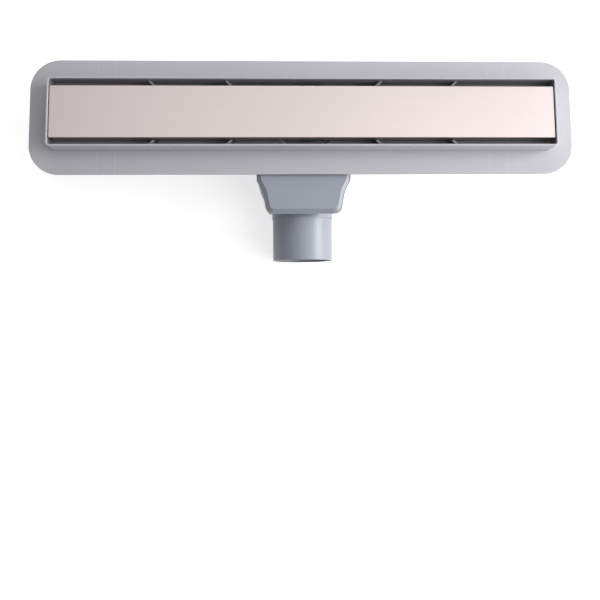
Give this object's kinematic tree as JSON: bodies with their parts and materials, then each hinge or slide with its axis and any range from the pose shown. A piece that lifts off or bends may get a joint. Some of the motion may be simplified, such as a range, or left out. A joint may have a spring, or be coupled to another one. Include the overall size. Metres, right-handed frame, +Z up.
{
  "type": "linear shower drain",
  "caption": "Low linear shower drain: flanged plastic channel with a satin steel cover plate and a trap that swivels under it, ending in a horizontal spigot.",
  "frame": {"origin": "middle of the trap's flat base, on the swivel axis of the trap", "axes": "+Z up; X along the channel; the spigot points along -Y at rest"},
  "size_m": [0.44, 0.1616, 0.087],
  "materials": {
    "channel_plastic": "satin moulded grey plastic",
    "cover_steel": "fine satin, grain along the plate",
    "trap_plastic": "satin moulded grey plastic",
    "insert_plastic": "moulded white plastic",
    "ring_plastic": "moulded dark plastic",
    "seal_rubber": "black rubber",
    "pad_rubber": "dark rubber"
  },
  "bodies": {
    "channel": {"channel_body": "channel_plastic", "cover_plate": "cover_steel", "cover_pads": "pad_rubber", "hair_strainer": "insert_plastic", "dip_tube": "insert_plastic", "dip_tube_seal": "seal_rubber", "trap_cup": "insert_plastic", "trap_cup_seal": "seal_rubber", "swivel_seal": "seal_rubber", "retaining_ring": "ring_plastic"},
    "trap": {"trap_upper_shell": "trap_plastic", "trap_lower_shell": "trap_plastic"}
  },
  "joints": [
    {"name": "trap_swivel", "type": "hinge", "parent": "channel", "child": "trap", "pos_m": [0, 0, 0.059], "axis": [0, 0, 1], "continuous": true}
  ]
}
